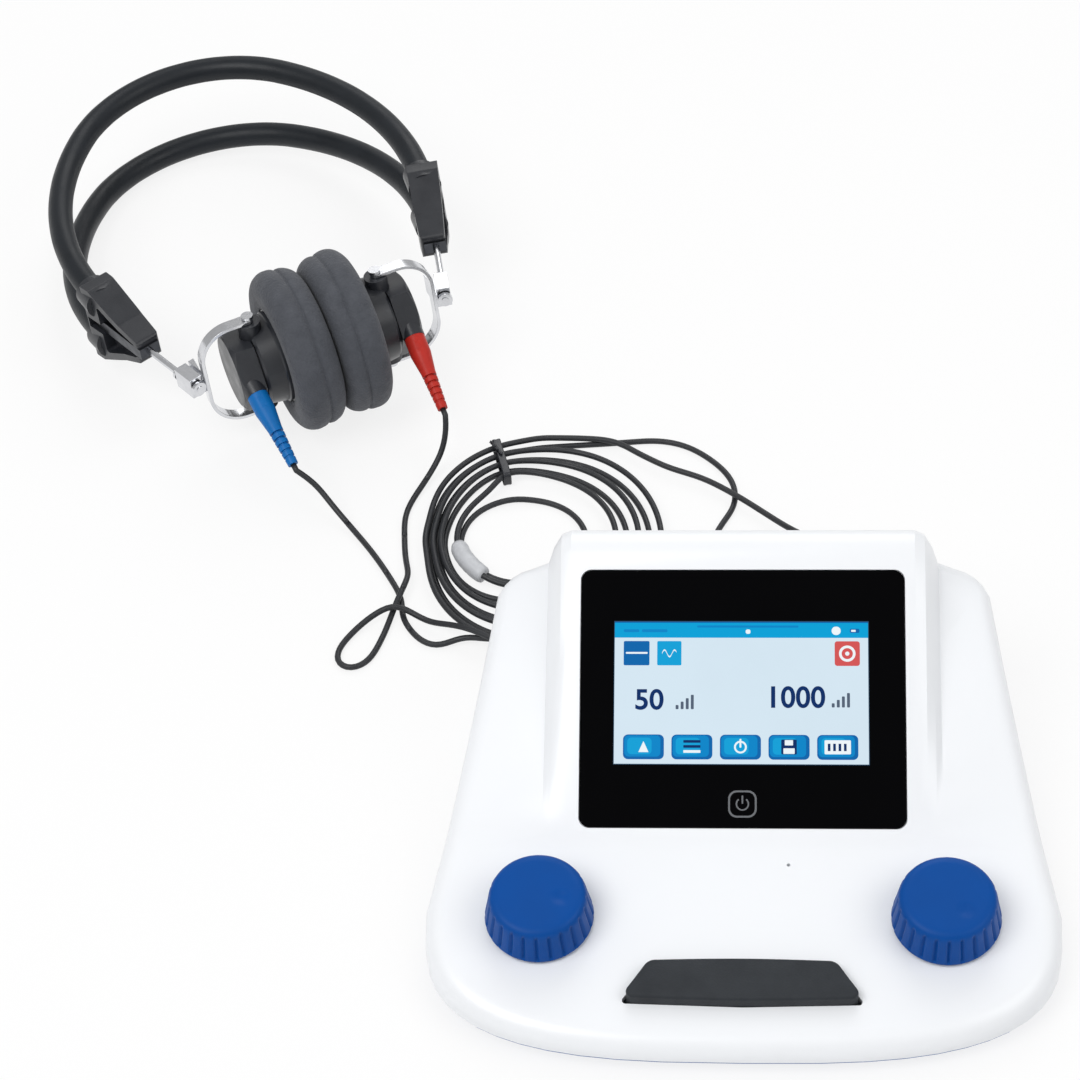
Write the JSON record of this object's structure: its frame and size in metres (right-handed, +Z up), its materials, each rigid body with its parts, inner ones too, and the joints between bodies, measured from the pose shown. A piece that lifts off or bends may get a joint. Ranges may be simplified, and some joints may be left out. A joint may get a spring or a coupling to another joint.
{
  "type": "desktop screening audiometer with headset",
  "caption": "White desktop audiometer with a tilted colour display, two blue dial knobs and a bar key, and a twin-band headset on coiled leads.",
  "frame": {"origin": "on the table plane, under the middle of the base unit and headset together", "axes": "+Z up; -Y is the side that faces the person at the controls; +X to their right"},
  "size_m": [0.4277, 0.5452, 0.0855],
  "materials": {
    "case_white": "smooth, slight gloss",
    "case_blue": "fine texture",
    "black_glass": "polished, opaque black printed cover",
    "knob_blue": "satin",
    "soft_charcoal": "soft-touch",
    "dark_plastic": "matt",
    "black_plastic": "satin",
    "metal": "plated",
    "bright_steel": "polished",
    "board_green": "solder mask",
    "rubber": "matt",
    "band_cover": "smooth vinyl cover",
    "cushion_skin": "matt moulded foam skin",
    "plug_blue": "moulded",
    "plug_red": "moulded",
    "sleeve_grey": "shrink sleeve",
    "cord_black": "smooth jacket"
  },
  "bodies": {
    "base_unit_and_headband": {"upper_case": "case_white", "lower_case": "case_blue", "cover_glass": "black_glass", "display_module": "metal", "display_bracket": "dark_plastic", "key_switches": "dark_plastic", "left_encoder": "metal", "right_encoder": "metal", "encoder_nuts": "metal", "main_board": "board_green", "board_screws": "metal", "case_screws": "metal", "rubber_feet": "rubber", "microphone": "metal", "phone_sockets": "dark_plastic", "response_socket": "dark_plastic", "usb_socket": "metal", "power_inlet": "dark_plastic", "upper_band": "band_cover", "lower_band": "band_cover", "left_block": "black_plastic", "right_block": "black_plastic", "left_guide": "metal", "right_guide": "metal", "block_screws": "metal", "left_lead": "cord_black", "right_lead": "cord_black", "left_coil": "cord_black", "right_coil": "cord_black", "left_tail": "cord_black", "right_tail": "cord_black", "label_sleeve": "sleeve_grey", "twist_tie": "black_plastic", "left_jack": "dark_plastic", "right_jack": "dark_plastic"},
    "bar_key_body": {"bar_key": "soft_charcoal"},
    "left_knob_body": {"left_knob": "knob_blue", "left_shaft": "metal"},
    "right_knob_body": {"right_knob": "knob_blue", "right_shaft": "metal"},
    "left_rod_body": {"left_rod": "bright_steel"},
    "left_fork_body": {"left_clamp": "bright_steel", "left_fork": "bright_steel", "left_pivots": "bright_steel"},
    "left_earphone_body": {"left_phone": "black_plastic", "left_cap": "black_plastic", "left_cushion": "cushion_skin", "left_driver": "metal", "left_plug": "plug_blue"},
    "right_rod_body": {"right_rod": "bright_steel"},
    "right_fork_body": {"right_clamp": "bright_steel", "right_fork": "bright_steel", "right_pivots": "bright_steel"},
    "right_earphone_body": {"right_phone": "black_plastic", "right_cap": "black_plastic", "right_cushion": "cushion_skin", "right_driver": "metal", "right_plug": "plug_red"}
  },
  "joints": [
    {"name": "left_knob_turn", "type": "hinge", "parent": "base_unit_and_headband", "child": "left_knob_body", "pos_m": [0.0225, -0.219, 0.02109], "axis": [0, -0.1392, 0.9903], "continuous": true},
    {"name": "right_knob_turn", "type": "hinge", "parent": "base_unit_and_headband", "child": "right_knob_body", "pos_m": [0.1705, -0.219, 0.02109], "axis": [0, -0.1392, 0.9903], "continuous": true},
    {"name": "bar_key_press", "type": "slide", "parent": "base_unit_and_headband", "child": "bar_key_body", "axis": [0, 0.1392, -0.9903], "range_m": [0, 0.0012], "stiffness_N_per_m": 600, "springref_m": -0.0006},
    {"name": "left_rod_slide", "type": "slide", "parent": "base_unit_and_headband", "child": "left_rod_body", "axis": [-0.6651, 0.7435, -0.0699], "range_m": [0, 0.02], "deforming": ["left_lead"]},
    {"name": "left_fork_swivel", "type": "hinge", "parent": "left_rod_body", "child": "left_fork_body", "pos_m": [-0.13859, 0.06389, 0.03314], "axis": [-0.6651, 0.7435, -0.0699], "range_deg": [-10, 10], "deforming": ["left_lead", "left_cushion", "right_cushion"]},
    {"name": "left_earphone_tilt", "type": "hinge", "parent": "left_fork_body", "child": "left_earphone_body", "pos_m": [-0.11012, 0.07333, 0.03518], "axis": [-0.079, 0.023, 0.9966], "range_deg": [-10, 10], "deforming": ["left_lead", "left_cushion", "right_cushion"]},
    {"name": "right_rod_slide", "type": "slide", "parent": "base_unit_and_headband", "child": "right_rod_body", "axis": [-0.1705, 0.9847, -0.0362], "range_m": [0, 0.02], "deforming": ["right_lead"]},
    {"name": "right_fork_swivel", "type": "hinge", "parent": "right_rod_body", "child": "right_fork_body", "pos_m": [-0.03309, 0.11534, 0.04032], "axis": [-0.1705, 0.9847, -0.0362], "range_deg": [-10, 10], "deforming": ["right_lead", "left_cushion", "right_cushion"]},
    {"name": "right_earphone_tilt", "type": "hinge", "parent": "right_fork_body", "child": "right_earphone_body", "pos_m": [-0.05809, 0.09871, 0.03872], "axis": [-0.079, 0.023, 0.9966], "range_deg": [-10, 10], "deforming": ["right_lead", "left_cushion", "right_cushion"]}
  ]
}
